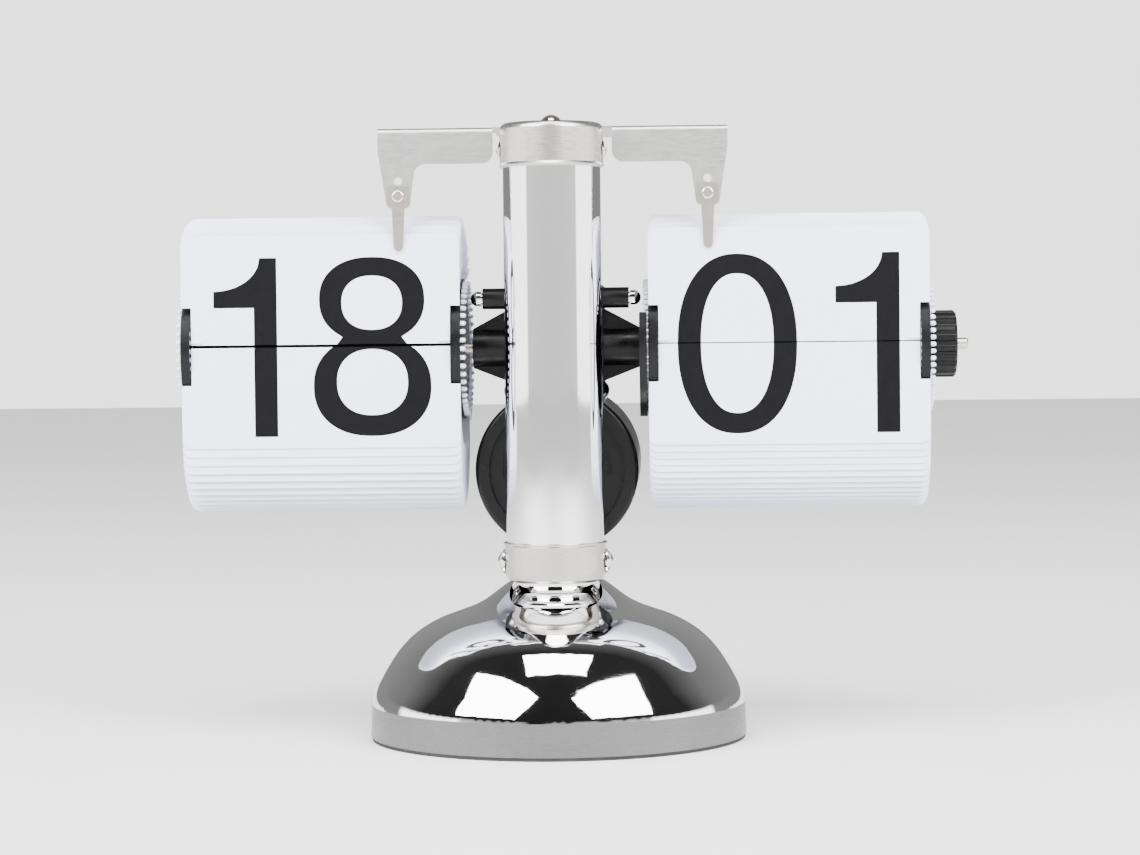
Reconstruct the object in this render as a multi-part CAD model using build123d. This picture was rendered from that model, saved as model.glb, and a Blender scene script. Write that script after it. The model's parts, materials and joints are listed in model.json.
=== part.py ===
from build123d import *
import math
import os

# Flip number clock, in millimetres. The origin is the middle of the underside of the base, +Z is up,
# the cards face -Y, and the hour drum is on the -X side.

# Base, a turned dome on a satin ring
BASE_RADIUS = 48.9
PAD_HEIGHT = 0.9
RING_TOP = 9.2
RING_TOP_RADIUS = 48.6
DOME_TOP = 41.0
DOME_WALL = 1.0
SEAT_Z = 35.2
SEAT_RADIUS = 12.0

# Column, which stands in front of the dome's axis
COLUMN_Y = -10.0
COLUMN_RADIUS = 12.5
COLUMN_WALL = 0.8
COLUMN_FOOT_Z = 42.3
COLUMN_TOP_Z = 157.6
COLLAR_RADIUS = 13.0
COLLAR_BOTTOM_Z = 41.3
COLLAR_TOP_Z = 51.5
CAP_BOTTOM_Z = 147.4
CAP_TOP_Z = 158.9
CAP_RADIUS = 13.2

# Drums and cards
AXIS_Y = 12.0
AXIS_Z = 101.2
PIVOT_RADIUS = 17.2
FLANGE_RADIUS = 18.4
FLANGE_THICK = 2.4
DRUM_MIDDLE = 60.65
DRUM_HALF = 36.35
CORE_RADIUS = 12.0
CARD_HALF = 36.25
CARD_NOTCH_HALF = 33.65
CARD_TAIL = 0.75
CARD_TIP = 25.4
CARD_NOTCH = 9.0
CARD_THICK = 0.3
CARD_CORNER = 2.3
CARD_OFFSET = 0.35
CARD_SPACING = 0.42
FAN_LAG = 12.0
HOUR_CARDS = 48
MINUTE_CARDS = 60
EAR_RADIUS = 0.6
EAR_HOLE_RADIUS = 0.66
EAR_REACH = 1.4
SHAFT_RADIUS = 1.5
SHAFT_CLEARANCE = 0.03
SHAFT_STEP_RADIUS = 0.8
SHAFT_STEP_X = -6.6

# Gear train: the minute arbor drives the hour arbor 24 times slower through one layshaft
GEAR_CENTRES = 9.0
PINION_TEETH = 10
LAY_WHEEL_TEETH = 48
HOUR_WHEEL_TEETH = 50
MINUTE_WHEEL_TEETH = 60
MOTOR_PINION_TEETH = 12
MOTOR_ANGLE = 60.0
BACKLASH = 0.09

# Gearbox and battery barrel
CASE_HALF = 12.4
CASE_WALL = 0.8
CASE_FRONT = 3.0
CASE_BACK = 30.2
CASE_BOTTOM = 92.2
CASE_TOP = 117.4
HUB_RADIUS = 5.0
HUB_END = 22.0
BARREL_RADIUS = 21.4
BARREL_WALL = 3.6
BARREL_Z = 69.2
BARREL_FRONT = 3.6
BARREL_BACK = 68.0
CELL_RADIUS = 17.1
CELL_LENGTH = 59.5

# Top bracket and stop fingers
BRACKET_TOP = 158.3
SHEET = 0.7
BRACKET_FRONT = -5.1
BRACKET_HALF = 45.2
FINGER_X = 40.0
FINGER_THICK = 0.5
FINGER_SCREW_Z = 140.7
FINGER_SHANK = 0.95
SPARE_HOLE_Z = 144.6
SPARE_HOLE_RADIUS = 1.05
BEND_RADIUS = 1.6

LOW = (Align.CENTER, Align.CENTER, Align.MIN)
PARTS = {}


def rod(radius, start, direction, length):
    """A cylinder from start, along direction."""
    return Plane(origin=start, z_dir=direction) * Cylinder(radius, length, align=LOW)


def rod_x(radius, x_low, x_high, y, z):
    return rod(radius, (x_low, y, z), (1, 0, 0), x_high - x_low)


def rod_y(radius, y_low, y_high, x, z):
    return rod(radius, (x, y_low, z), (0, 1, 0), y_high - y_low)


def rod_z(radius, z_low, z_high, x=0.0, y=0.0):
    return rod(radius, (x, y, z_low), (0, 0, 1), z_high - z_low)


def block(x, y, z):
    """A box from its low and high bounds on each axis."""
    size = [high - low for low, high in (x, y, z)]
    return Pos(x[0], y[0], z[0]) * Box(*size, align=(Align.MIN, Align.MIN, Align.MIN))


def turned(lines, centre_y=0.0):
    """A solid turned about the vertical axis from its (radius, z) outline."""
    return Pos(0, centre_y, 0) * revolve(make_face(Plane.XZ * lines), Axis.Z)


def dome_head(radius, height, start, direction):
    """A domed screw head, cut from a ball, that sits on start."""
    ball_radius = (radius**2 + height**2) / (2 * height)
    ball = Pos(0, 0, height - ball_radius) * Sphere(ball_radius)
    keep = Cylinder(ball_radius, height, align=LOW)
    return Plane(origin=start, z_dir=direction) * (ball & keep)


def save(name, shape):
    PARTS[name] = shape


# Base
def dome_outline(radial=1.0, upright=1.0):
    points = [
        (RING_TOP_RADIUS, RING_TOP),
        (46.0, 16.0),
        (39.4, 25.2),
        (29.5, 31.5),
        (20.9, 34.7),
        (17.3, 36.9),
        (13.0, 40.1),
        (8.0, DOME_TOP),
    ]
    curve = Spline([(r * radial, z * upright) for r, z in points], tangents=[(-0.12, 1), (-1, 0)])
    low = (0, curve.position_at(0).Y)
    high = (0, curve.position_at(1).Y)
    return curve + Polyline(curve.position_at(1), high, low, curve.position_at(0))


def build_base():
    inner_radial = 1 - DOME_WALL / RING_TOP_RADIUS
    inner_upright = 1 - DOME_WALL / DOME_TOP
    outside = turned(dome_outline())
    inside = turned(dome_outline(inner_radial, inner_upright))
    inside += rod_z(RING_TOP_RADIUS * inner_radial, RING_TOP - 1, RING_TOP)
    seat = rod_z(SEAT_RADIUS + DOME_WALL, SEAT_Z - 1.8, DOME_TOP + 1, y=COLUMN_Y) & outside
    dome = outside - inside + seat
    dome -= rod_z(SEAT_RADIUS, SEAT_Z, DOME_TOP + 1, y=COLUMN_Y)
    dome -= rod_z(3.1, SEAT_Z - 3, SEAT_Z + 1, y=COLUMN_Y)
    save("base_dome", dome)

    ring = turned(
        Polyline(
            (BASE_RADIUS, PAD_HEIGHT),
            (RING_TOP_RADIUS, RING_TOP),
            (RING_TOP_RADIUS - DOME_WALL, RING_TOP),
            (RING_TOP_RADIUS - DOME_WALL, PAD_HEIGHT),
            close=True,
        )
    )
    save("base_ring", ring)

    plate_radius = RING_TOP_RADIUS - DOME_WALL - 0.1
    plate_top = PAD_HEIGHT + 1.6
    ballast_top = 16.0
    screw_circle = 34.0
    plate = rod_z(plate_radius, PAD_HEIGHT, plate_top)
    ballast = rod_z(40.0, plate_top, ballast_top)
    screws = []
    for angle in (90, 210, 330):
        x = screw_circle * math.cos(math.radians(angle))
        y = screw_circle * math.sin(math.radians(angle))
        plate -= rod_z(1.6, PAD_HEIGHT, plate_top, x, y)
        plate -= rod_z(2.9, PAD_HEIGHT, PAD_HEIGHT + 0.8, x, y)
        ballast -= rod_z(1.5, plate_top, ballast_top, x, y)
        screws.append(rod_z(2.8, PAD_HEIGHT, PAD_HEIGHT + 0.8, x, y) + rod_z(1.5, PAD_HEIGHT, 12.0, x, y))
    bolt_head_z = plate_top
    bolt_head_top = bolt_head_z + 4.0
    ballast -= rod_z(6.2, bolt_head_z, bolt_head_top, y=COLUMN_Y)
    ballast -= rod_z(3.05, plate_top, ballast_top, y=COLUMN_Y)
    save("base_plate", plate)
    save("ballast", ballast)
    save("plate_screws", Compound(children=screws))
    save("foot_pad", rod_z(BASE_RADIUS - 0.3, 0, PAD_HEIGHT))

    head = Pos(0, COLUMN_Y, bolt_head_z) * extrude(RegularPolygon(5.0, 6), bolt_head_top - bolt_head_z)
    save("neck_bolt", head + rod_z(3.0, bolt_head_z, SEAT_Z + 6, y=COLUMN_Y))


# Column
def build_column():
    foot_radius = 11.0
    waist = 8.9
    lip = 10.2
    spigot_top = 56.0
    outline = Polyline((3.0, SEAT_Z), (foot_radius, SEAT_Z), (foot_radius, SEAT_Z + 0.6))
    outline += Spline(
        (foot_radius, SEAT_Z + 0.6), (waist, 38.0), (lip, 40.6), tangents=[(-0.6, 1), (0.6, 1)]
    )
    outline += Polyline(
        (lip, 40.6),
        (lip, COLLAR_BOTTOM_Z),
        (waist, COLLAR_BOTTOM_Z),
        (waist, spigot_top),
        (3.0, spigot_top),
        (3.0, SEAT_Z),
    )
    save("neck", turned(outline, COLUMN_Y))

    inner = COLUMN_RADIUS - COLUMN_WALL
    column = rod_z(COLUMN_RADIUS, COLUMN_FOOT_Z, COLUMN_TOP_Z, y=COLUMN_Y)
    column -= rod_z(inner, COLUMN_FOOT_Z, COLUMN_TOP_Z, y=COLUMN_Y)
    foot_plug = rod_z(inner, COLUMN_FOOT_Z, spigot_top, y=COLUMN_Y)
    foot_plug -= rod_z(waist, COLUMN_FOOT_Z, spigot_top, y=COLUMN_Y)

    bead = 0.35
    collar = turned(
        Polyline(
            (waist, COLLAR_BOTTOM_Z),
            (COLLAR_RADIUS - 1.8, COLLAR_BOTTOM_Z),
            (COLLAR_RADIUS - 0.5, COLLAR_BOTTOM_Z + 0.7),
            (COLLAR_RADIUS, COLLAR_BOTTOM_Z + 2.0),
            (COLLAR_RADIUS, COLLAR_TOP_Z - 0.9),
            (COLLAR_RADIUS + bead, COLLAR_TOP_Z - 0.6),
            (COLLAR_RADIUS + bead, COLLAR_TOP_Z - 0.2),
            (COLLAR_RADIUS - 0.1, COLLAR_TOP_Z),
            (COLUMN_RADIUS, COLLAR_TOP_Z),
            (COLUMN_RADIUS, COLUMN_FOOT_Z),
            (waist, COLUMN_FOOT_Z),
            close=True,
        ),
        COLUMN_Y,
    )
    screw_z = 46.4
    screw_end = 10.0
    screws = []
    for side in (-1, 1):
        start = (side * screw_end, COLUMN_Y, screw_z)
        shank = rod(1.5, start, (side, 0, 0), COLLAR_RADIUS - screw_end)
        column -= shank
        foot_plug -= shank
        collar -= shank
        head_start = (side * COLLAR_RADIUS, COLUMN_Y, screw_z)
        washer = rod(3.1, head_start, (side, 0, 0), 0.4)
        head = dome_head(2.7, 1.5, (side * (COLLAR_RADIUS + 0.4), COLUMN_Y, screw_z), (side, 0, 0))
        screws.append(shank + washer + head)
    save("column_foot_plug", foot_plug)
    save("collar", collar)
    save("collar_screws", Compound(children=screws))

    build_cap(column, inner)


def build_cap(column, inner):
    top_plug_z = 148.5
    plug = rod_z(inner, top_plug_z, COLUMN_TOP_Z, y=COLUMN_Y)
    plug -= rod_z(1.5, top_plug_z, COLUMN_TOP_Z, y=COLUMN_Y)
    bore = COLUMN_RADIUS + 0.05
    corner = 1.6
    corner_z = CAP_TOP_Z - 0.2 - corner
    bead = (CAP_RADIUS + 0.35, CAP_BOTTOM_Z + 0.5)
    corner_low = (CAP_RADIUS, corner_z)
    corner_high = (CAP_RADIUS - corner, corner_z + corner)
    hole = (1.55, BRACKET_TOP)
    cap = turned(
        Polyline((bore, CAP_BOTTOM_Z), (CAP_RADIUS, CAP_BOTTOM_Z), bead)
        + Polyline(bead, (CAP_RADIUS, CAP_BOTTOM_Z + 1.1), corner_low)
        + TangentArc(corner_low, corner_high, tangent=(0, 1))
        + Polyline(corner_high, (4.0, CAP_TOP_Z), (1.55, CAP_TOP_Z), hole)
        + Polyline(hole, (bore - 0.5, BRACKET_TOP), (bore, BRACKET_TOP - 0.5), (bore, CAP_BOTTOM_Z)),
        COLUMN_Y,
    )
    cap -= block((-18, 18), (BRACKET_FRONT - 0.05, 6), (BRACKET_TOP - SHEET - 0.05, BRACKET_TOP))

    rivet_z = 152.0
    rivet_end = 10.0
    rivets = []
    for side in (-1, 1):
        start = (side * rivet_end, COLUMN_Y, rivet_z)
        shank = rod(1.2, start, (side, 0, 0), CAP_RADIUS - rivet_end)
        column -= shank
        plug -= shank
        cap -= shank
        rivets.append(shank + dome_head(2.5, 1.1, (side * CAP_RADIUS, COLUMN_Y, rivet_z), (side, 0, 0)))
    save("column", column)
    save("column_top_plug", plug)
    save("cap", cap)
    save("cap_rivets", Compound(children=rivets))
    screw = dome_head(2.85, 2.0, (0, COLUMN_Y, CAP_TOP_Z), (0, 0, 1))
    save("cap_screw", screw + rod_z(1.5, 150.0, CAP_TOP_Z, y=COLUMN_Y))


# Top bracket and stop fingers
def build_bracket():
    inner_x = 15.4
    face_bottom = 149.0
    shoulder_z = 152.6
    leg_bottom = 137.6
    leg_top_half = 4.4
    leg_bottom_half = 2.9
    wing_back = 6.8
    plate_back = 28.8
    plate_low = BRACKET_TOP - SHEET
    tongue = block((-10, 10), (COLUMN_Y - 8.0, BRACKET_FRONT), (plate_low, BRACKET_TOP))
    bracket = block((-inner_x, inner_x), (BRACKET_FRONT, plate_back), (plate_low, BRACKET_TOP))
    bracket += tongue & rod_z(11.4, plate_low, BRACKET_TOP, y=COLUMN_Y)
    bracket -= rod_z(1.55, plate_low, BRACKET_TOP, y=COLUMN_Y)
    for side in (-1, 1):
        outline = Polyline(
            (side * inner_x, BRACKET_TOP),
            (side * inner_x, face_bottom),
            (side * (FINGER_X - leg_top_half), face_bottom),
            (side * (FINGER_X - leg_bottom_half), leg_bottom),
            (side * (FINGER_X + leg_bottom_half), leg_bottom),
            (side * BRACKET_HALF, shoulder_z),
            (side * BRACKET_HALF, BRACKET_TOP),
            close=True,
        )
        face = make_face(Plane.XZ * outline)
        inner_corners = face.vertices().filter_by(lambda v: abs(v.Z - face_bottom) < 0.1)
        face = fillet(inner_corners, 3.0)
        foot_corners = face.vertices().filter_by(lambda v: v.Z < leg_bottom + 0.1)
        face = fillet(foot_corners, 1.6)
        wing = Pos(0, BRACKET_FRONT, 0) * extrude(face, SHEET, dir=(0, 1, 0))
        x_range = sorted((side * inner_x, side * BRACKET_HALF))
        wing += block(x_range, (BRACKET_FRONT, wing_back), (plate_low, BRACKET_TOP))
        wing = fillet(bend_edges(wing, BRACKET_FRONT, BRACKET_TOP), BEND_RADIUS)
        wing = fillet(bend_edges(wing, BRACKET_FRONT + SHEET, plate_low), BEND_RADIUS - SHEET)
        face_y = (BRACKET_FRONT, BRACKET_FRONT + SHEET)
        wing -= rod_y(SPARE_HOLE_RADIUS, *face_y, side * FINGER_X, SPARE_HOLE_Z)
        wing -= rod_y(FINGER_SHANK, *face_y, side * FINGER_X, FINGER_SCREW_Z)
        bracket += wing
    save("top_bracket", bracket)

    head_radius = 1.6
    head_tall = 0.8
    recess = 0.4
    screws = []
    for side, name in ((-1, "left"), (1, "right")):
        x = side * FINGER_X
        save("stop_finger_" + name, build_finger(x))
        front = BRACKET_FRONT - FINGER_THICK
        head = rod_y(head_radius, front - head_tall, front, x, FINGER_SCREW_Z)
        head = fillet(head.faces().sort_by(Axis.Y)[0].edges(), 0.5)
        for wide, tall in ((0.8, recess / 2), (recess / 2, 0.8)):
            z_range = (FINGER_SCREW_Z - tall, FINGER_SCREW_Z + tall)
            head -= block((x - wide, x + wide), (front - head_tall, front - head_tall + recess), z_range)
        screws.append(head + rod_y(FINGER_SHANK, front, BRACKET_FRONT + 2.0, x, FINGER_SCREW_Z))
    save("finger_screws", Compound(children=screws))


def bend_edges(wing, y, z):
    """The edges along X at y and z."""
    return wing.edges().filter_by(Axis.X).filter_by(
        lambda e: abs(e.center().Y - y) < 0.01 and abs(e.center().Z - z) < 0.01
    )


def build_finger(x):
    plate_low, plate_high, plate_half = 137.9, 143.3, 2.7
    shoulder = 0.8
    tip_z, root_half, tip_half = 127.8, 1.7, 1.2
    plate = make_face(
        Plane.XZ
        * Polyline(
            (x - plate_half, plate_high),
            (x + plate_half, plate_high),
            (x + plate_half, plate_low + shoulder),
            (x + root_half, plate_low),
            (x + tip_half, tip_z),
            (x - tip_half, tip_z),
            (x - root_half, plate_low),
            (x - plate_half, plate_low + shoulder),
            close=True,
        )
    )
    front = BRACKET_FRONT - FINGER_THICK
    finger = Pos(0, front, 0) * extrude(plate, FINGER_THICK, dir=(0, 1, 0))
    finger += rod_y(tip_half, front, BRACKET_FRONT, x, tip_z)
    return finger - rod_y(FINGER_SHANK, front, BRACKET_FRONT, x, FINGER_SCREW_Z)


# Gears
def involute_outline(module, teeth, turn):
    """The outline of a spur gear, with one tooth's middle at turn degrees."""
    pitch_radius = module * teeth / 2
    base_radius = pitch_radius * math.cos(math.radians(20))
    tip_radius = pitch_radius + 0.85 * module
    root_radius = pitch_radius - 1.25 * module
    half_tooth = math.pi / (2 * teeth) - BACKLASH / (2 * pitch_radius)
    tan_pitch = math.tan(math.radians(20))
    pitch_involute = tan_pitch - math.radians(20)
    start = max(base_radius, root_radius)
    flank = []
    for step in range(4):
        radius = start + (tip_radius - start) * step / 3
        pressure = math.acos(min(1, base_radius / radius))
        flank.append((radius, half_tooth + pitch_involute - (math.tan(pressure) - pressure)))
    if root_radius < start:
        flank.insert(0, (root_radius, flank[0][1]))
    points = []
    for tooth in range(teeth):
        middle = math.radians(turn) + 2 * math.pi * tooth / teeth
        side = [(r, middle - a) for r, a in flank] + [(r, middle + a) for r, a in reversed(flank)]
        points += [(r * math.cos(a), r * math.sin(a)) for r, a in side]
    return points


def gear(module, teeth, turn, x_low, x_high, y, z, bore):
    """A spur gear whose axis lies along X; turn is measured from +Y towards +Z."""
    plane = Plane(origin=(x_low, y, z), x_dir=(0, 1, 0), z_dir=(1, 0, 0))
    face = make_face(Polyline(*involute_outline(module, teeth, turn), close=True))
    return plane * extrude(face, x_high - x_low) - rod_x(bore, x_low, x_high, y, z)


def build_gears():
    lay_y = AXIS_Y + GEAR_CENTRES
    lay_radius = 0.75
    slow = 2 * GEAR_CENTRES / (PINION_TEETH + LAY_WHEEL_TEETH)
    last = 2 * GEAR_CENTRES / (PINION_TEETH + HOUR_WHEEL_TEETH)
    drive = 2 * GEAR_CENTRES / (MOTOR_PINION_TEETH + MINUTE_WHEEL_TEETH)
    half = 180.0
    save("minute_pinion", gear(slow, PINION_TEETH, 0, -8.7, -7.1, AXIS_Y, AXIS_Z, SHAFT_STEP_RADIUS))
    turn = half + half / LAY_WHEEL_TEETH
    save("lay_wheel", gear(slow, LAY_WHEEL_TEETH, turn, -8.5, -7.3, lay_y, AXIS_Z, lay_radius))
    save("lay_pinion", gear(last, PINION_TEETH, half, -11.3, -9.9, lay_y, AXIS_Z, lay_radius))
    turn = half / HOUR_WHEEL_TEETH
    save("hour_wheel", gear(last, HOUR_WHEEL_TEETH, turn, -11.2, -10.0, AXIS_Y, AXIS_Z, SHAFT_RADIUS))
    save("lay_arbor", rod_x(lay_radius, -CASE_HALF, CASE_HALF, lay_y, AXIS_Z))

    motor_y = AXIS_Y + GEAR_CENTRES * math.cos(math.radians(MOTOR_ANGLE))
    motor_z = AXIS_Z + GEAR_CENTRES * math.sin(math.radians(MOTOR_ANGLE))
    save(
        "minute_wheel",
        gear(drive, MINUTE_WHEEL_TEETH, MOTOR_ANGLE, -6.2, -5.0, AXIS_Y, AXIS_Z, SHAFT_RADIUS),
    )
    turn = MOTOR_ANGLE + half + half / MOTOR_PINION_TEETH
    motor_shaft = 0.6
    pinion = gear(drive, MOTOR_PINION_TEETH, turn, -6.4, -4.8, motor_y, motor_z, motor_shaft / 2)
    save("motor_pinion", pinion + rod_x(motor_shaft, -6.6, 2.0, motor_y, motor_z))
    can = rod_x(7.0, -4.2, CASE_HALF - CASE_WALL, motor_y, motor_z)
    save("motor_can", can - rod_x(motor_shaft + 0.05, -4.2, 2.2, motor_y, motor_z))
    save("drive_board", block((-4, 7.6), (27.4, 28.6), (95, 115)))
    return lay_y, lay_radius


# Gearbox
def build_gearbox(lay_y, lay_radius):
    outside = block((-CASE_HALF, CASE_HALF), (CASE_FRONT, CASE_BACK - 1), (CASE_BOTTOM, CASE_TOP))
    hollow_x = CASE_HALF - CASE_WALL
    hollow_z = (CASE_BOTTOM + CASE_WALL, CASE_TOP - CASE_WALL)
    hollow = block((-hollow_x, hollow_x), (CASE_FRONT + CASE_WALL, CASE_BACK), hollow_z)
    case = outside - hollow
    bush_radius = 3.0
    stub_radius, stub_end, stub_y, stub_z = 2.75, 19.2, 8.0, 114.2
    pins = []
    bushes = []
    for side in (-1, 1):
        wall_x = side * (CASE_HALF - 0.1)
        case += rod(HUB_RADIUS, (wall_x, AXIS_Y, AXIS_Z), (side, 0, 0), HUB_END - CASE_HALF + 0.1)
        case += rod(stub_radius, (wall_x, stub_y, stub_z), (side, 0, 0), stub_end - CASE_HALF + 0.1)
        for up, reach in ((1, 10.4), (-1, 9.0)):
            gusset = Polyline(
                (wall_x, AXIS_Z + up * 3),
                (side * HUB_END, AXIS_Z + up * 3),
                (side * HUB_END, AXIS_Z + up * 5.2),
                (wall_x, AXIS_Z + up * reach),
                close=True,
            )
            rib = extrude(make_face(Plane.XZ * gusset), 2.4, dir=(0, 1, 0))
            case += Pos(0, AXIS_Y - 1.2, 0) * rib
        case -= rod(bush_radius, (side * (CASE_HALF - 1), AXIS_Y, AXIS_Z), (side, 0, 0), HUB_END)
        case -= rod(lay_radius + SHAFT_CLEARANCE, (side * hollow_x, lay_y, AXIS_Z), (side, 0, 0), 1)
        pin_root = stub_end - 3.0
        case -= rod(1.5, (side * pin_root, stub_y, stub_z), (side, 0, 0), 4.0)
        pin = rod(1.5, (side * pin_root, stub_y, stub_z), (side, 0, 0), 5.0)
        knob_start = (side * (pin_root + 4.6), stub_y, stub_z)
        knob = dome_head(1.95, 1.6, knob_start, (side, 0, 0))
        knob += rod(1.95, knob_start, (-side, 0, 0), 1.2)
        pins.append(pin + knob)
        bush_start = (side * hollow_x, AXIS_Y, AXIS_Z)
        bush = rod(bush_radius, bush_start, (side, 0, 0), HUB_END - hollow_x)
        bush -= rod(SHAFT_RADIUS + SHAFT_CLEARANCE, bush_start, (side, 0, 0), HUB_END)
        bushes.append(bush)
    for z in (98.0, 108.0):
        case -= rod_y(1.3, CASE_FRONT, CASE_FRONT + CASE_WALL, 0, z)
    save("rod_pins", Compound(children=pins))
    save("hub_bushes", Compound(children=bushes))

    cover = block((-CASE_HALF, CASE_HALF), (CASE_BACK - 1, CASE_BACK), (CASE_BOTTOM, CASE_TOP))
    cover_screws = []
    for x in (-10.2, 10.2):
        for z in (CASE_BOTTOM + 2.4, CASE_TOP - 2.4):
            post = rod_y(1.25, CASE_BACK - 6, CASE_BACK - 1, x, z)
            web_x = sorted((x, math.copysign(CASE_HALF - CASE_WALL / 2, x)))
            post += block(web_x, (CASE_BACK - 6, CASE_BACK - 1), (z - 0.5, z + 0.5))
            case += post
            case -= rod_y(0.6, CASE_BACK - 6, CASE_BACK - 1, x, z)
            cover -= rod_y(0.6, CASE_BACK - 1, CASE_BACK, x, z)
            head = dome_head(1.4, 0.8, (x, CASE_BACK, z), (0, 1, 0))
            cover_screws.append(head + rod_y(0.6, CASE_BACK - 5, CASE_BACK, x, z))
    save("gearbox_case", case)
    save("gearbox_cover", cover)
    save("cover_screws", Compound(children=cover_screws))

    saddle = block((-8, 8), (COLUMN_Y, CASE_FRONT), (95, 111)) - rod_z(COLUMN_RADIUS, 90, 120, y=COLUMN_Y)
    screws = []
    for z in (98.0, 108.0):
        saddle -= rod_y(1.3, COLUMN_Y, CASE_FRONT, 0, z)
        PARTS["column"] -= rod_y(1.3, COLUMN_Y, CASE_FRONT, 0, z)
        head = rod_y(2.4, CASE_FRONT + CASE_WALL, CASE_FRONT + CASE_WALL + 0.35, 0, z)
        screws.append(head + rod_y(1.3, -1.0, CASE_FRONT + CASE_WALL, 0, z))
    save("column_saddle", saddle)
    save("saddle_screws", Compound(children=screws))

    guard = rod_x(20.2, HUB_END, HUB_END + 2, AXIS_Y, AXIS_Z)
    guard -= rod_x(18.75, HUB_END + 0.6, HUB_END + 2, AXIS_Y, AXIS_Z)
    sector = Polyline((-2.0, 5.0), (-30.0, 12.0), (-30.0, -41.0), (4.0, -4.0), close=True)
    plane = Plane(origin=(HUB_END, AXIS_Y, AXIS_Z), x_dir=(0, 1, 0), z_dir=(1, 0, 0))
    guard &= plane * extrude(make_face(sector), 2)
    guard += rod_x(5.0, HUB_END, HUB_END + 0.6, AXIS_Y, AXIS_Z)
    guard -= rod_x(SHAFT_RADIUS + 0.3, HUB_END, HUB_END + 2, AXIS_Y, AXIS_Z)
    save("card_guard", guard)


# Battery barrel
def build_battery():
    barrel = rod_y(BARREL_RADIUS, BARREL_FRONT, BARREL_BACK, 0, BARREL_Z)
    barrel = fillet(barrel.faces().sort_by(Axis.Y)[0].edges(), 1.2)
    inner = BARREL_RADIUS - BARREL_WALL
    back_wall = BARREL_FRONT + 3.2
    neck_y = (6, CASE_BACK)
    neck_low = 84
    barrel += block((-CASE_HALF, CASE_HALF), neck_y, (neck_low, CASE_BOTTOM))
    barrel -= rod_y(inner, back_wall, BARREL_BACK, 0, BARREL_Z)
    panel = rod_y(BARREL_RADIUS - 3.6, BARREL_FRONT, BARREL_FRONT + 1.2, 0, BARREL_Z)
    barrel -= panel & block((-30, 30), (0, 10), (0, BARREL_Z + 12.6))
    slot_low = BARREL_Z - 1.6
    for side in (-1, 1):
        x = sorted((side * 12.9, side * 14.1))
        barrel -= block(x, (BARREL_FRONT + 1.2, BARREL_FRONT + 1.8), (slot_low, slot_low + 5.4))

    side_screws = []
    screw_z = 89.9
    screw_y = 9.0
    screw_root = 9.0
    for side in (-1, 1):
        shank = rod(1.1, (side * screw_root, screw_y, screw_z), (side, 0, 0), CASE_HALF - screw_root)
        barrel -= shank
        head = dome_head(2.6, 1.5, (side * CASE_HALF, screw_y, screw_z), (side, 0, 0))
        side_screws.append(shank + head)
    save("battery_barrel", barrel)
    save("barrel_screws", Compound(children=side_screws))

    cell_front = back_wall + 0.6
    nub_root = cell_front + 1.4
    cell = rod_y(CELL_RADIUS, nub_root, cell_front + CELL_LENGTH, 0, BARREL_Z)
    cell = fillet(cell.edges(), 0.8)
    cell += rod_y(4.6, cell_front, nub_root + 0.2, 0, BARREL_Z)
    save("battery_cell", cell)
    save("contact_plate", block((-5, 5), (back_wall, back_wall + 0.5), (BARREL_Z - 8, BARREL_Z + 8)))

    cover_front = BARREL_BACK + 0.1
    cover = rod_y(BARREL_RADIUS, cover_front, cover_front + 2.4, 0, BARREL_Z)
    cover = fillet(cover.faces().sort_by(Axis.Y)[-1].edges(), 1.0)
    cover -= rod_y(BARREL_RADIUS - 5, cover_front + 1.4, cover_front + 3, 0, BARREL_Z)
    cover += block((-15.5, 15.5), (cover_front, cover_front + 3.4), (BARREL_Z - 1.6, BARREL_Z + 1.6))
    spring_outer, spring_inner = 5.0, 4.2
    cell_end = cell_front + CELL_LENGTH
    spring = rod_y(spring_outer, cell_end + 0.3, cover_front, 0, BARREL_Z)
    spring -= rod_y(spring_inner, cell_end + 0.3, cover_front, 0, BARREL_Z)
    save("battery_cover", cover)
    save("cover_spring", spring)


# Drums
def card_blank():
    wide = Pos(0, (CARD_NOTCH + CARD_TIP) / 2) * Rectangle(2 * CARD_HALF, CARD_TIP - CARD_NOTCH)
    narrow_tall = CARD_NOTCH + CARD_TAIL + 1
    narrow = Pos(0, narrow_tall / 2 - CARD_TAIL) * Rectangle(2 * CARD_NOTCH_HALF, narrow_tall)
    sheet = wide + narrow
    corners = sheet.vertices().filter_by(lambda v: v.Y > CARD_TIP - 0.1)
    sheet = fillet(corners, CARD_CORNER)
    return Pos(0, 0, -CARD_THICK / 2) * extrude(sheet, CARD_THICK)


def card_plane(x, y, z, lean):
    """The plane of a card that leans back from upright by lean degrees."""
    lean = math.radians(lean)
    facing = (0, -math.cos(lean), math.sin(lean))
    return Plane(origin=(x, AXIS_Y + y, AXIS_Z + z), x_dir=(1, 0, 0), z_dir=facing)


def pivot(angle):
    """A card pivot, by its angle above the front of the drum: (y, z) from the drum's axis."""
    angle = math.radians(angle)
    return -PIVOT_RADIUS * math.cos(angle), PIVOT_RADIUS * math.sin(angle)


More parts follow.
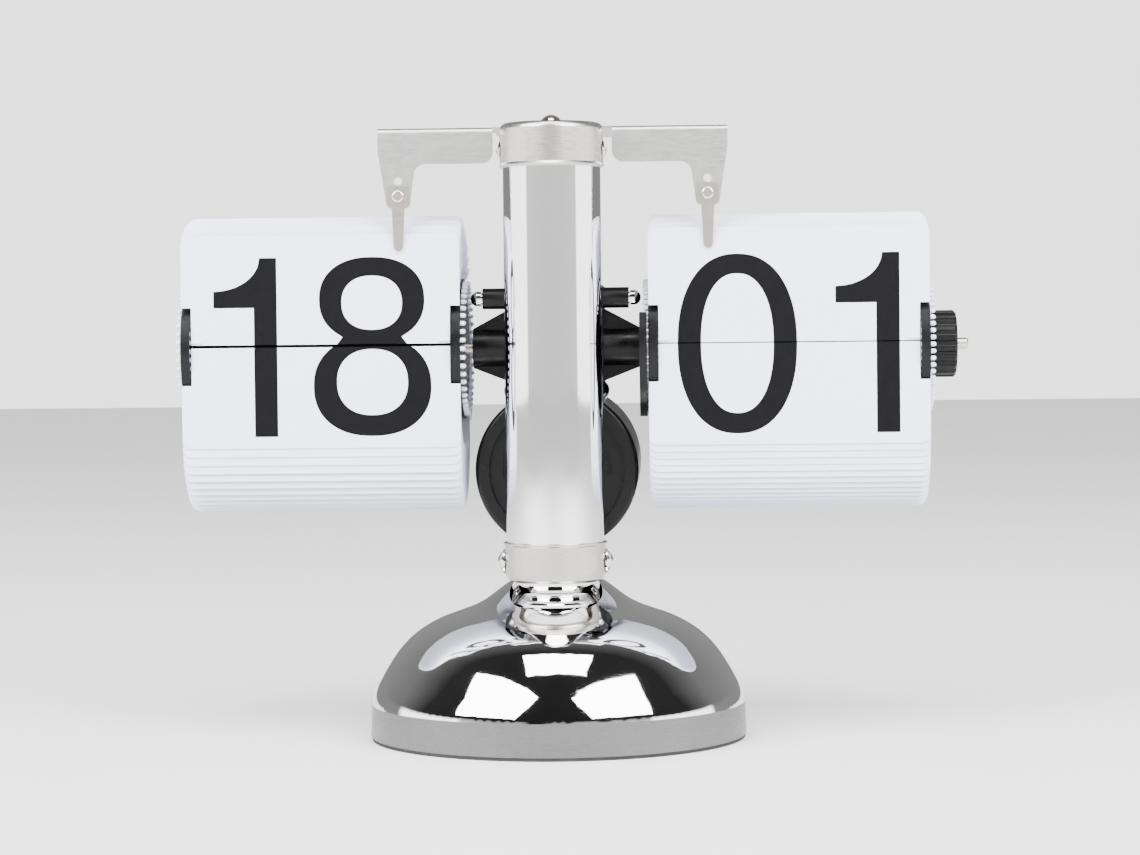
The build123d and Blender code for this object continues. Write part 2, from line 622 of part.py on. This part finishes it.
def fan_cards(count, x, blank):
    """The upper cards behind the front leaf, each leaning back against the spacing of the last."""
    pitch = 360 / count
    y, z = pivot(pitch)
    last = (y + CARD_OFFSET, z, 0.0)
    cards = []
    for index in range(2, count // 2):
        angle = index * pitch
        lean = max(0.0, angle - pitch - FAN_LAG)
        y, z = pivot(angle)
        normal = (math.cos(math.radians(lean)), -math.sin(math.radians(lean)))
        along = (math.sin(math.radians(lean)), math.cos(math.radians(lean)))
        last_lean = math.radians(last[2])
        last_normal = (math.cos(last_lean), -math.sin(last_lean))
        y += CARD_OFFSET * normal[0]
        z += CARD_OFFSET * normal[1]
        tail = (y - CARD_TAIL * along[0] - last[0], z - CARD_TAIL * along[1] - last[1])
        gap = tail[0] * last_normal[0] + tail[1] * last_normal[1]
        push = max(0.0, CARD_SPACING - gap)
        y += push * normal[0]
        z += push * normal[1]
        last = (y, z, lean)
        cards.append(card_plane(x, y, z, lean) * blank)
    return cards


def hanging_cards(count, x, blank):
    """The lower cards, which hang straight down from the front of the drum round to its back."""
    pitch = 360 / count
    half = count // 4
    depths = []
    for index in range(half + 1):
        depth = pivot(-index * pitch)[0] + CARD_OFFSET
        if depths:
            depth = max(depth, depths[-1] + CARD_SPACING)
        depths.append(depth)
    cards = []
    for index in range(count // 2 + 1):
        height = pivot(-index * pitch)[1]
        front = index <= half
        depth = depths[index] if front else -depths[count // 2 - index]
        cards.append(card_plane(x, depth, height, 180) * blank)
    return cards


def build_drum(name, side, count):
    middle = side * DRUM_MIDDLE
    inner_x = side * (DRUM_MIDDLE - DRUM_HALF)
    outer_x = side * (DRUM_MIDDLE + DRUM_HALF)
    pitch = 360 / count
    blank = card_blank()
    save(name + "_cards_upper", Compound(children=fan_cards(count, middle, blank)))
    save(name + "_cards_lower", Compound(children=hanging_cards(count, middle, blank)))

    y, z = pivot(pitch)
    leaf = card_plane(middle, y + CARD_OFFSET, z, 0) * blank
    for end in (-1, 1):
        start = middle + end * (CARD_NOTCH_HALF - 3)
        leaf += rod(0.45, (start, AXIS_Y + y, AXIS_Z + z), (end, 0, 0), 3)
    save(name + "_leaf", leaf)

    ears = []
    for label, face_x, out in (("inner", inner_x, -side), ("outer", outer_x, side)):
        flange = rod(FLANGE_RADIUS, (face_x, AXIS_Y, AXIS_Z), (-out, 0, 0), FLANGE_THICK)
        holes = []
        for index in range(count):
            y, z = pivot(index * pitch)
            start = (face_x - out * FLANGE_THICK, AXIS_Y + y, AXIS_Z + z)
            reach = FLANGE_THICK + EAR_REACH - EAR_RADIUS
            ear = rod(EAR_RADIUS, start, (out, 0, 0), reach)
            ear += Pos(start[0] + out * reach, start[1], start[2]) * Sphere(EAR_RADIUS)
            ears.append(ear)
            holes.append(rod(EAR_HOLE_RADIUS, start, (out, 0, 0), FLANGE_THICK))
        flange -= holes
        flange -= rod_x(SHAFT_RADIUS, -200, 200, AXIS_Y, AXIS_Z)
        save(name + "_flange_" + label, flange)
    save(name + "_card_ears", Compound(children=ears))

    x_low, x_high = sorted((inner_x + side * FLANGE_THICK, outer_x - side * FLANGE_THICK))
    core = rod_x(CORE_RADIUS, x_low, x_high, AXIS_Y, AXIS_Z)
    save(name + "_core", core - rod_x(CORE_RADIUS - 1, x_low, x_high, AXIS_Y, AXIS_Z))


def build_shafts_and_knob():
    end = DRUM_MIDDLE + DRUM_HALF
    save("hour_shaft", rod_x(SHAFT_RADIUS, -end, -9.8, AXIS_Y, AXIS_Z))
    shaft_end = 108.2
    shaft = rod_x(SHAFT_RADIUS, SHAFT_STEP_X, shaft_end, AXIS_Y, AXIS_Z)
    shaft = chamfer(shaft.faces().sort_by(Axis.X)[-1].edges(), 0.4)
    save("minute_shaft", shaft + rod_x(SHAFT_STEP_RADIUS, -8.9, SHAFT_STEP_X, AXIS_Y, AXIS_Z))

    knob_radius, knob_low, knob_high, flutes = 8.85, 98.9, 104.8, 20
    knob = rod_x(knob_radius, knob_low, knob_high, AXIS_Y, AXIS_Z)
    knob = chamfer(knob.faces().sort_by(Axis.X)[-1].edges(), 0.6)
    grooves = []
    for index in range(flutes):
        angle = 2 * math.pi * index / flutes
        y = AXIS_Y + (knob_radius + 0.35) * math.cos(angle)
        z = AXIS_Z + (knob_radius + 0.35) * math.sin(angle)
        grooves.append(rod_x(0.95, knob_low, knob_high, y, z))
    knob -= grooves
    knob += rod_x(4.0, end, knob_low, AXIS_Y, AXIS_Z)
    save("setting_knob", knob - rod_x(SHAFT_RADIUS, end, knob_high, AXIS_Y, AXIS_Z))


build_base()
build_column()
build_bracket()
build_gearbox(*build_gears())
build_battery()
build_drum("hour", -1, HOUR_CARDS)
build_drum("minute", 1, MINUTE_CARDS)
build_shafts_and_knob()

os.makedirs("parts", exist_ok=True)
for part_name, shape in PARTS.items():
    export_step(shape, "parts/" + part_name + ".step")
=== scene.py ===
import json
import math

import bmesh
import bpy
from mathutils import Matrix, Vector


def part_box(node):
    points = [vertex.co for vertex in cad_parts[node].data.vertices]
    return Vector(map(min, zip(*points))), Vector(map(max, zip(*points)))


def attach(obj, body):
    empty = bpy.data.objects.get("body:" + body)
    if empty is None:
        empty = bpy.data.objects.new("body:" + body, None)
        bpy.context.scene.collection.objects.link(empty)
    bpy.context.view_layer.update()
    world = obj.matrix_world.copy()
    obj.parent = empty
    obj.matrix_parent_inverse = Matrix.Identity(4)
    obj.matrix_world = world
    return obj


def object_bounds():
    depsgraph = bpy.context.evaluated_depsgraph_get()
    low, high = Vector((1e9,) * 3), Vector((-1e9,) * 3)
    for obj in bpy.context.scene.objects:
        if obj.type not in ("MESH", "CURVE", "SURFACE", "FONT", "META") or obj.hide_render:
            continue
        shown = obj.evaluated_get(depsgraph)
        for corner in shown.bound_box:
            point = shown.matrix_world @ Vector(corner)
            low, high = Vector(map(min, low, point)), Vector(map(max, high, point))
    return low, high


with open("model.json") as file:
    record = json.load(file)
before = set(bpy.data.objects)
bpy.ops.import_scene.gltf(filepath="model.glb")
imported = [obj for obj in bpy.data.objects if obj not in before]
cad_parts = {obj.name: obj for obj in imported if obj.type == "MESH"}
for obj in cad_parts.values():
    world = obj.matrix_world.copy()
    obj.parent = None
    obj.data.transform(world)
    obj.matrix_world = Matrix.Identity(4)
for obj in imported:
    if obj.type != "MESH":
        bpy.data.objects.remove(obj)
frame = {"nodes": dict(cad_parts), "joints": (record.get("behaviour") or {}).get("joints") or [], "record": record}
CAD_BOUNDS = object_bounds()
MM = 0.001
NODES = frame["nodes"]
JOINTS = {joint["name"]: joint for joint in frame["joints"]}


# Node helpers
class Shader:
    """A Principled material and a short way to add nodes to it."""

    def __init__(self, name, colour, metallic=0.0, roughness=0.4):
        self.material = bpy.data.materials.new(name)
        self.material.use_nodes = True
        self.tree = self.material.node_tree
        self.surface = self.tree.nodes["Principled BSDF"]
        self.surface.inputs["Base Color"].default_value = (*colour, 1)
        self.surface.inputs["Metallic"].default_value = metallic
        self.surface.inputs["Roughness"].default_value = roughness
        self.point = self.tree.nodes.new("ShaderNodeTexCoord").outputs["Object"]
        self.bumps = None

    def stretched(self, scale):
        node = self.tree.nodes.new("ShaderNodeMapping")
        node.inputs["Scale"].default_value = scale
        self.tree.links.new(self.point, node.inputs["Vector"])
        return node.outputs["Vector"]

    def noise(self, scale, detail=4.0, stretch=None):
        node = self.tree.nodes.new("ShaderNodeTexNoise")
        node.inputs["Scale"].default_value = scale
        node.inputs["Detail"].default_value = detail
        vector = self.point if stretch is None else self.stretched(stretch)
        self.tree.links.new(vector, node.inputs["Vector"])
        return node.outputs["Fac"]

    def ramp(self, value, low, high):
        """Maps a 0 to 1 value onto low..high."""
        node = self.tree.nodes.new("ShaderNodeMapRange")
        node.inputs["From Min"].default_value = 0.3
        node.inputs["From Max"].default_value = 0.7
        node.inputs["To Min"].default_value = low
        node.inputs["To Max"].default_value = high
        self.tree.links.new(value, node.inputs["Value"])
        return node.outputs["Result"]

    def tint(self, value, first, second):
        node = self.tree.nodes.new("ShaderNodeMix")
        node.data_type = "RGBA"
        node.inputs["A"].default_value = (*first, 1)
        node.inputs["B"].default_value = (*second, 1)
        self.tree.links.new(value, node.inputs["Factor"])
        self.tree.links.new(node.outputs["Result"], self.surface.inputs["Base Color"])

    def roughness(self, value, low, high):
        self.tree.links.new(self.ramp(value, low, high), self.surface.inputs["Roughness"])

    def bump(self, value, distance, strength=1.0):
        """Adds a bump of distance metres on top of the bumps already there."""
        node = self.tree.nodes.new("ShaderNodeBump")
        node.inputs["Distance"].default_value = distance
        node.inputs["Strength"].default_value = strength
        self.tree.links.new(value, node.inputs["Height"])
        if self.bumps is not None:
            self.tree.links.new(self.bumps, node.inputs["Normal"])
        self.bumps = node.outputs["Normal"]
        self.tree.links.new(self.bumps, self.surface.inputs["Normal"])


# Materials
def polished_steel():
    shader = Shader("polished_steel", (0.80, 0.79, 0.78), metallic=1.0, roughness=0.03)
    haze = shader.noise(45, 3)
    shader.roughness(haze, 0.02, 0.055)
    shader.tint(shader.noise(25, 2), (0.78, 0.77, 0.765), (0.83, 0.82, 0.81))
    shader.bump(shader.noise(2200, 3, stretch=(1, 1, 0.08)), 0.0000008)
    return shader.material


def satin_steel(name, warm, cool):
    """Steel brushed round an upright axis."""
    shader = Shader(name, cool, metallic=1.0, roughness=0.3)
    grain = shader.noise(260, 8, stretch=(1, 1, 30))
    shader.tint(shader.noise(70, 5), warm, cool)
    shader.roughness(grain, 0.22, 0.36)
    shader.bump(grain, 0.000012)
    shader.surface.inputs["Anisotropic"].default_value = 0.4
    return shader.material


def sheet_steel(name, first, second):
    shader = Shader(name, first, metallic=1.0, roughness=0.34)
    grain = shader.noise(1500, 5, stretch=(0.25, 1, 1))
    shader.tint(shader.noise(400, 4), first, second)
    shader.roughness(grain, 0.31, 0.39)
    shader.bump(grain, 0.0000015)
    return shader.material


def bright_screw():
    shader = Shader("bright_screw", (0.74, 0.72, 0.69), metallic=1.0, roughness=0.14)
    shader.roughness(shader.noise(900, 4), 0.10, 0.20)
    shader.bump(shader.noise(3000, 4), 0.000003)
    return shader.material


def turned_steel():
    shader = Shader("turned_steel", (0.62, 0.58, 0.52), metallic=1.0, roughness=0.3)
    rings = shader.noise(700, 5, stretch=(6, 0.4, 0.4))
    shader.roughness(rings, 0.22, 0.38)
    shader.bump(rings, 0.000008)
    return shader.material


def black_plastic():
    gloss = 0.32
    shader = Shader("black_plastic", (0.0025, 0.0025, 0.003), roughness=gloss)
    shader.surface.inputs["Specular IOR Level"].default_value = 0.18
    shader.roughness(shader.noise(350, 5), gloss - 0.06, gloss + 0.10)
    shader.tint(shader.noise(60, 3), (0.002, 0.002, 0.0024), (0.0035, 0.0035, 0.004))
    shader.bump(shader.noise(2600, 3), 0.000010)
    shader.bump(shader.noise(120, 2), 0.00003)
    return shader.material


def white_card():
    shader = Shader("white_card", (0.70, 0.72, 0.84), roughness=0.42)
    shader.surface.inputs["Sheen Weight"].default_value = 0.08
    shader.tint(shader.noise(30, 2), (0.68, 0.705, 0.83), (0.72, 0.74, 0.86))
    shader.roughness(shader.noise(500, 4), 0.38, 0.50)
    shader.bump(shader.noise(1800, 4), 0.000004)
    return shader.material


def print_ink():
    shader = Shader("print_ink", (0.004, 0.004, 0.0045), roughness=0.55)
    shader.surface.inputs["Specular IOR Level"].default_value = 0.05
    shader.tint(shader.noise(900, 5), (0.0035, 0.0035, 0.004), (0.005, 0.005, 0.0055))
    shader.roughness(shader.noise(700, 4), 0.42, 0.56)
    shader.bump(shader.noise(4000, 4), 0.000004)
    return shader.material


def plain_detail(name, first, second, low, high, metallic=0.0, scale=400, height=0.00001):
    shader = Shader(name, first, metallic=metallic, roughness=low)
    shader.tint(shader.noise(scale / 5, 4), first, second)
    shader.roughness(shader.noise(scale, 4), low, high)
    shader.bump(shader.noise(scale * 4, 4), height)
    return shader.material


MATERIALS = {
    "polished_steel": polished_steel(),
    "satin_steel": satin_steel("satin_steel", (0.50, 0.46, 0.42), (0.55, 0.535, 0.51)),
    "bright_screws": bright_screw(),
    "shaft_steel": turned_steel(),
    "black_plastic": black_plastic(),
    "inner_plastic": plain_detail(
        "inner_plastic", (0.07, 0.07, 0.07), (0.10, 0.10, 0.10), 0.5, 0.65
    ),
    "foot_foam": plain_detail(
        "foot_foam", (0.012, 0.012, 0.012), (0.03, 0.03, 0.03), 0.8, 0.95, height=0.00005
    ),
    "ballast_iron": plain_detail(
        "ballast_iron", (0.10, 0.10, 0.10), (0.16, 0.15, 0.14), 0.5, 0.75, 1.0, 300, 0.00005
    ),
    "white_card": white_card(),
    "gear_plastic": plain_detail(
        "gear_plastic", (0.74, 0.72, 0.62), (0.80, 0.78, 0.70), 0.35, 0.5
    ),
    "bearing_brass": plain_detail(
        "bearing_brass", (0.66, 0.50, 0.22), (0.76, 0.60, 0.32), 0.22, 0.4, 1.0
    ),
    "motor_steel": plain_detail(
        "motor_steel", (0.50, 0.50, 0.49), (0.60, 0.60, 0.58), 0.3, 0.45, 1.0
    ),
    "board": plain_detail("board", (0.02, 0.14, 0.06), (0.04, 0.22, 0.10), 0.35, 0.5),
    "cell_jacket": plain_detail("cell_jacket", (0.05, 0.05, 0.055), (0.09, 0.09, 0.10), 0.25, 0.4),
}
INK = print_ink()
NODE_MATERIALS = {
    "base_ring": satin_steel("ring_steel", (0.150, 0.150, 0.150), (0.185, 0.185, 0.185)),
    "top_bracket": sheet_steel("sheet_steel", (0.50, 0.495, 0.48), (0.53, 0.525, 0.515)),
    "stop_finger_left": sheet_steel("finger_steel", (0.40, 0.37, 0.34), (0.44, 0.41, 0.375)),
}
NODE_MATERIALS["stop_finger_right"] = NODE_MATERIALS["stop_finger_left"]


def dress_cad():
    slot_of = {row["node"]: row["material_slot"] for row in frame["record"]["subparts"]}
    for name, node in NODES.items():
        node.data.materials.clear()
        node.data.materials.append(NODE_MATERIALS.get(name) or MATERIALS[slot_of[name]])


def make_piece(name, mesh, material, body):
    piece = bpy.data.objects.new(name, mesh)
    bpy.context.scene.collection.objects.link(piece)
    mesh.materials.append(material)
    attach(piece, body)
    return piece


# Numerals: outlines in millimetres, X as in the frame and Z up from the split between the cards
DIGIT_TOP = 22.9
DIGIT_LOW = -23.5
STEM = 6.0
INK_HEIGHT = 0.03
# A card's reach past its pivot, and how far its faces are behind the pivot, in millimetres
CARD_TAIL = 0.75
LEAF_FRONT = 0.2
LEAF_BACK = 0.5


def oval(x, z, half_wide, half_tall, first=0.0, last=360.0, power=2.25, steps=72):
    """Points round a slightly square oval, anticlockwise, with 0 degrees at +X."""
    points = []
    gaps = steps if last - first >= 360 else steps - 1
    for step in range(steps):
        angle = math.radians(first + (last - first) * step / gaps)
        c, s = math.cos(angle), math.sin(angle)
        points.append(
            (
                x + half_wide * math.copysign(abs(c) ** (2 / power), c),
                z + half_tall * math.copysign(abs(s) ** (2 / power), s),
            )
        )
    return points


def one(right):
    """A one whose stem's right edge is at right; its flag sweeps down to a level arm."""
    left = right - STEM
    corner = left + 1.5
    arm_end = left - 10.5
    arm_top = DIGIT_TOP - 8.6
    arm_low = DIGIT_TOP - 12.9
    outline = [(right, DIGIT_LOW), (right, DIGIT_TOP)]
    for step in range(13):
        turn = math.radians(90 * step / 12)
        sweep_x = corner - (corner - arm_end) * (1 - math.cos(turn))
        outline.append((sweep_x, DIGIT_TOP - (DIGIT_TOP - arm_top) * math.sin(turn)))
    outline += [(arm_end, arm_low), (left, arm_low), (left, DIGIT_LOW)]
    return [outline]


def zero(x):
    middle = (DIGIT_TOP + DIGIT_LOW) / 2
    tall = (DIGIT_TOP - DIGIT_LOW) / 2
    return [oval(x, middle, 15.4, tall), oval(x, middle + 0.1, 9.35, tall - 5.2)]


def eight(x):
    waist_z, waist_half = 2.2, 7.7
    upper_z = 11.9
    upper_tall = DIGIT_TOP - upper_z
    lower_z = -10.6
    lower_tall = lower_z - DIGIT_LOW
    right = oval(x, lower_z, 15.3, lower_tall, -90, 56, steps=30)
    right += [(x + waist_half, waist_z)]
    right += oval(x, upper_z, 13.7, upper_tall, -52, 90, steps=30)
    left = [(2 * x - px, pz) for px, pz in reversed(right)]
    upper_hole = oval(x, 11.05, 7.85, 7.0)
    lower_hole = oval(x, -9.5, 9.2, 8.55)
    return [right + left, upper_hole, lower_hole]


def nine(x):
    """An upper ring and a curved tail."""
    ring = oval(x, 9.2, 14.6, DIGIT_TOP - 9.2, 0, 360)
    hole = oval(x, 9.2, 8.5, 8.6)
    tail_out = oval(x, 1.0, 14.6, 24.5, 12, -120, steps=30)
    tail_in = oval(x, 1.0, 8.5, 19.4, 12, -120, steps=30)
    return [ring, hole], [tail_out + list(reversed(tail_in))]


def two(x):
    """A hooked arc, a diagonal and a foot."""
    arc_out = oval(x, 9.0, 14.2, DIGIT_TOP - 9.0, 170, -38, steps=40)
    arc_in = oval(x, 9.0, 8.2, 8.8, 170, -30, steps=40)
    foot_top = DIGIT_LOW + 5.2
    foot = [
        (x + 2.6, -6.2),
        (x - 6.6, foot_top),
        (x + 14.6, foot_top),
        (x + 14.6, DIGIT_LOW),
        (x - 15.0, DIGIT_LOW),
        (x - 15.0, DIGIT_LOW + 5.0),
        (x - 3.0, -6.5),
    ]
    return [arc_out + foot + list(reversed(arc_in))]


def filled(loops, low, high):
    """Triangles of a region with holes, cut to low <= z <= high, as (x, z) polygons."""
    curve = bpy.data.curves.new("outline", "CURVE")
    curve.dimensions = "2D"
    curve.fill_mode = "BOTH"
    for loop in loops:
        spline = curve.splines.new("POLY")
        spline.points.add(len(loop) - 1)
        for point, (x, z) in zip(spline.points, loop):
            point.co = (x, z, 0, 1)
        spline.use_cyclic_u = True
    holder = bpy.data.objects.new("outline", curve)
    mesh = bpy.data.meshes.new_from_object(holder)
    bpy.data.objects.remove(holder)
    bpy.data.curves.remove(curve)
    shape = bmesh.new()
    shape.from_mesh(mesh)
    bpy.data.meshes.remove(mesh)
    for height, side in ((low, -1), (high, 1)):
        geometry = shape.verts[:] + shape.edges[:] + shape.faces[:]
        bmesh.ops.bisect_plane(
            shape, geom=geometry, plane_co=(0, height, 0), plane_no=(0, side, 0), clear_outer=True
        )
    bmesh.ops.dissolve_degenerate(shape, edges=shape.edges[:], dist=0.001)
    return shape


def printed(name, groups, span, place, body):
    """Thin ink on a card: the groups' loops, cut to span, each point put in the world by place."""
    whole = bmesh.new()
    for loops in groups:
        shape = filled(loops, *span)
        top = shape.faces[:]
        raised = bmesh.ops.extrude_face_region(shape, geom=top)["geom"]
        moved = [item for item in raised if isinstance(item, bmesh.types.BMVert)]
        bmesh.ops.translate(shape, verts=moved, vec=(0, 0, INK_HEIGHT))
        part = bpy.data.meshes.new("part")
        shape.to_mesh(part)
        shape.free()
        whole.from_mesh(part)
        bpy.data.meshes.remove(part)
    for vertex in whole.verts:
        vertex.co = place(vertex.co.x, vertex.co.y, vertex.co.z)
    bmesh.ops.recalc_face_normals(whole, faces=whole.faces[:])
    mesh = bpy.data.meshes.new(name)
    whole.to_mesh(mesh)
    whole.free()
    return make_piece(name, mesh, INK, body)


def print_drum(drum, shown, following):
    """Prints a drum's visible number, and the next on the leaf's back and the card behind."""
    joint = JOINTS[drum + "_card_fall"]
    pivot = Vector(joint["pos_m"])
    axis_z = JOINTS[drum + "_drum_turn"]["pos_m"][2]
    tail = CARD_TAIL * MM
    leaf_low = pivot.z - tail
    lower_top = axis_z + tail
    split = (leaf_low + lower_top) / 2
    leaf_front = pivot.y + LEAF_FRONT * MM
    leaf_back = pivot.y + LEAF_BACK * MM
    lower_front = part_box(drum + "_cards_lower")[0].y
    fan_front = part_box(drum + "_cards_upper")[0].y
    gap_half = (leaf_low - split) / MM
    upper_span = (gap_half, DIGIT_TOP + 1)
    lower_span = (DIGIT_LOW - 1, -gap_half)

    def on(plane_y):
        return lambda x, z, lift: Vector((x * MM, plane_y - lift * MM, split + z * MM))

    def on_back(x, z, lift):
        height = split + z * MM + (pivot.z - axis_z)
        return Vector((x * MM, leaf_back + lift * MM, 2 * pivot.z - height))

    printed(drum + "_ink_upper", shown, upper_span, on(leaf_front), drum + "_card")
    printed(drum + "_ink_lower", shown, lower_span, on(lower_front), "stand")
    printed(drum + "_ink_next_upper", following, upper_span, on(fan_front), "stand")
    printed(drum + "_ink_next_lower", following, lower_span, on_back, drum + "_card")


def print_numbers():
    hour_shown = [one(-71.9), eight(-47.2)]
    hour_next = [one(-71.9), *nine(-47.2)]
    minute_shown = [zero(47.3), one(89.1)]
    minute_next = [zero(47.3), two(78.6)]
    print_drum("hour", hour_shown, hour_next)
    print_drum("minute", minute_shown, minute_next)


# Studio
CAMERA_DISTANCE = 0.765
CAMERA_HEIGHT = 0.1032
CAMERA_YAW = 2.3
CAMERA_ROLL = 0.6
CAMERA_LENS = 92.8
AIM = Vector((0.0037, 0, 0.0804))
FLOOR_HALF = 4.0
# World brightness for matt surfaces, for reflections and for the camera
WORLD_FILL = 1.9
WORLD_MIRROR = 3.2
WORLD_BACK = 2.6


def add_camera():
    data = bpy.data.cameras.new("camera")
    data.lens = CAMERA_LENS
    data.sensor_width = 36
    camera = bpy.data.objects.new("camera", data)
    bpy.context.scene.collection.objects.link(camera)
    yaw = math.radians(CAMERA_YAW)
    flat = Vector((math.sin(yaw), -math.cos(yaw), 0)) * CAMERA_DISTANCE
    camera.location = flat + Vector((0, 0, CAMERA_HEIGHT))
    look = (AIM - camera.location).to_track_quat("-Z", "Y").to_matrix()
    camera.rotation_euler = (look @ Matrix.Rotation(math.radians(-CAMERA_ROLL), 3, "Z")).to_euler()
    bpy.context.scene.camera = camera


def softbox(name, azimuth, elevation, distance, size, power, aim=(0, 0, 0.08)):
    """A rectangular studio light; azimuth 0 is on the camera's side and 90 is on the right."""
    turn, lift = math.radians(azimuth), math.radians(elevation)
    flat = distance * math.cos(lift)
    offset = (flat * math.sin(turn), -flat * math.cos(turn), distance * math.sin(lift))
    place = Vector(aim) + Vector(offset)
    data = bpy.data.lights.new(name, "AREA")
    data.shape = "RECTANGLE"
    data.size, data.size_y = size
    data.energy = power
    light = bpy.data.objects.new(name, data)
    bpy.context.scene.collection.objects.link(light)
    light.location = place
    light.rotation_euler = (Vector(aim) - place).to_track_quat("-Z", "Y").to_euler()


def ramp_stops(tree, value, stops):
    """A colour ramp over value; stops are (place, grey level)."""
    ramp = tree.nodes.new("ShaderNodeValToRGB")
    elements = ramp.color_ramp.elements
    while len(elements) > 1:
        elements.remove(elements[-1])
    for index, (place, level) in enumerate(stops):
        element = elements[0] if index == 0 else elements.new(place)
        element.position = place
        element.color = (level, level, level, 1)
    tree.links.new(value, ramp.inputs["Fac"])
    return ramp.outputs["Color"]


def studio_world():
    """Pale to the camera, even to matt surfaces; reflections see a dark room with pale walls."""
    world = bpy.data.worlds.new("studio")
    bpy.context.scene.world = world
    world.use_nodes = True
    tree = world.node_tree
    output = tree.nodes["World Output"]
    tree.nodes.remove(tree.nodes["Background"])
    split = tree.nodes.new("ShaderNodeSeparateXYZ")
    direction = tree.nodes.new("ShaderNodeTexCoord").outputs["Generated"]
    tree.links.new(direction, split.inputs["Vector"])

    def half(value):
        node = tree.nodes.new("ShaderNodeMath")
        node.operation = "MULTIPLY_ADD"
        node.inputs[1].default_value = 0.5
        node.inputs[2].default_value = 0.5
        tree.links.new(value, node.inputs[0])
        return node.outputs["Value"]

    depth, height = half(split.outputs["Y"]), half(split.outputs["Z"])
    wall_stops = ((0.0, 0.38), (0.24, 0.42), (0.27, 1.4), (0.66, 1.4), (0.70, 0.10), (1.0, 0.10))
    walls = ramp_stops(tree, depth, wall_stops)
    ceiling = ramp_stops(tree, depth, ((0.0, 0.006), (0.5, 0.010), (0.7, 0.07), (1.0, 0.11)))
    rise = ramp_stops(tree, height, ((0.0, 0.0), (0.56, 0.0), (0.60, 1.0), (1.0, 1.0)))
    room = tree.nodes.new("ShaderNodeMix")
    room.data_type = "RGBA"
    tree.links.new(rise, room.inputs["Factor"])
    tree.links.new(walls, room.inputs["A"])
    tree.links.new(ceiling, room.inputs["B"])

    def background(strength, colour=None):
        node = tree.nodes.new("ShaderNodeBackground")
        node.inputs["Strength"].default_value = strength
        node.inputs["Color"].default_value = (1, 1, 1, 1)
        if colour is not None:
            tree.links.new(colour, node.inputs["Color"])
        return node.outputs["Background"]

    path = tree.nodes.new("ShaderNodeLightPath")

    def choose(flag, otherwise, chosen):
        node = tree.nodes.new("ShaderNodeMixShader")
        tree.links.new(path.outputs[flag], node.inputs["Fac"])
        tree.links.new(otherwise, node.inputs[1])
        tree.links.new(chosen, node.inputs[2])
        return node.outputs["Shader"]

    mirrored = background(WORLD_MIRROR, room.outputs["Result"])
    seen = choose("Is Glossy Ray", background(WORLD_FILL), mirrored)
    seen = choose("Is Camera Ray", seen, background(WORLD_BACK))
    tree.links.new(seen, output.inputs["Surface"])


def add_studio():
    studio_world()
    softbox("left_box", -44, 33, 1.25, (0.92, 0.86), 40)
    softbox("right_box", 42, 33, 1.25, (0.92, 0.86), 40)
    softbox("top_box", 0, 72, 1.1, (0.62, 0.46), 14)
    mesh = bpy.data.meshes.new("floor")
    shape = bmesh.new()
    bmesh.ops.create_grid(shape, x_segments=8, y_segments=8, size=FLOOR_HALF)
    shape.to_mesh(mesh)
    shape.free()
    floor = bpy.data.objects.new("floor", mesh)
    floor.location.z = CAD_BOUNDS[0].z
    bpy.context.scene.collection.objects.link(floor)
    paper = ((0.66, 0.66, 0.665), (0.68, 0.68, 0.685))
    mesh.materials.append(plain_detail("floor_paper", *paper, 0.6, 0.7, scale=40))


dress_cad()
print_numbers()
add_camera()
add_studio()
